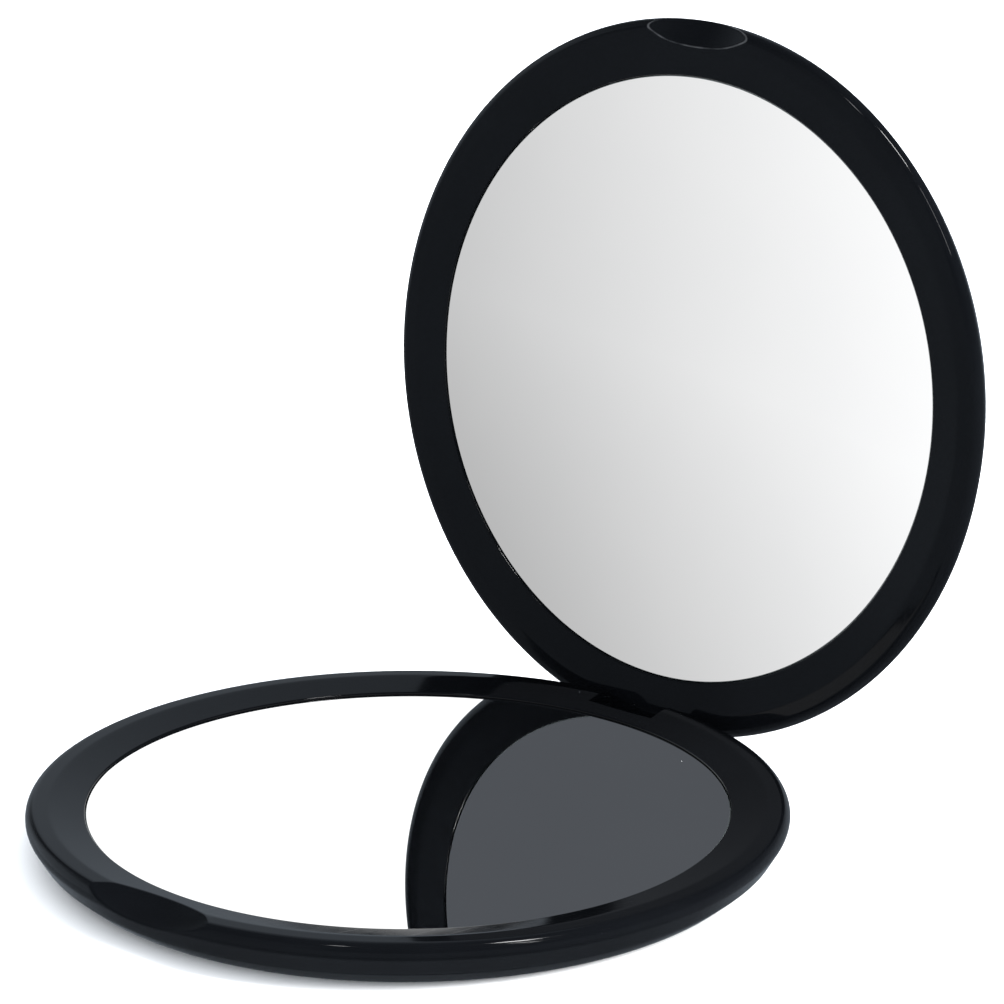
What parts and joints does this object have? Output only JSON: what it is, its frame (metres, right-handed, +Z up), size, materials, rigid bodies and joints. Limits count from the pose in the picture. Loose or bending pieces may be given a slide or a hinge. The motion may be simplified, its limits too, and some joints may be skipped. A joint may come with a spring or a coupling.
{
  "type": "compact mirror",
  "caption": "Round double compact mirror, hinged at the rear and standing open, with a flat mirror in the base and a concave magnifying mirror in the lid.",
  "frame": {"origin": "centre of the base's flat underside, on the table", "axes": "+Z up, +Y from the finger notch towards the hinge, +X to the right when looking along +Y"},
  "size_m": [0.1, 0.1149, 0.1005],
  "materials": {
    "black_plastic": "polished moulded black plastic",
    "mirror_glass": "silvered glass",
    "foam_tape": "white foam mounting tape",
    "magnet": "nickel-plated magnet",
    "steel": "bright steel"
  },
  "bodies": {
    "base": {"base_frame": "black_plastic", "base_cover": "black_plastic", "flat_mirror": "mirror_glass", "flat_mirror_tape": "foam_tape", "base_magnet_left": "magnet", "base_magnet_right": "magnet", "hinge_pin": "steel"},
    "lid": {"lid_frame": "black_plastic", "lid_cover": "black_plastic", "magnifying_mirror": "mirror_glass", "magnifying_mirror_tape": "foam_tape", "lid_keeper_left": "steel", "lid_keeper_right": "steel"}
  },
  "joints": [
    {"name": "lid_hinge", "type": "hinge", "parent": "base", "child": "lid", "pos_m": [0, 0.0478, 0.00355], "axis": [1, 0, 0], "range_deg": [0, 94.7]}
  ]
}
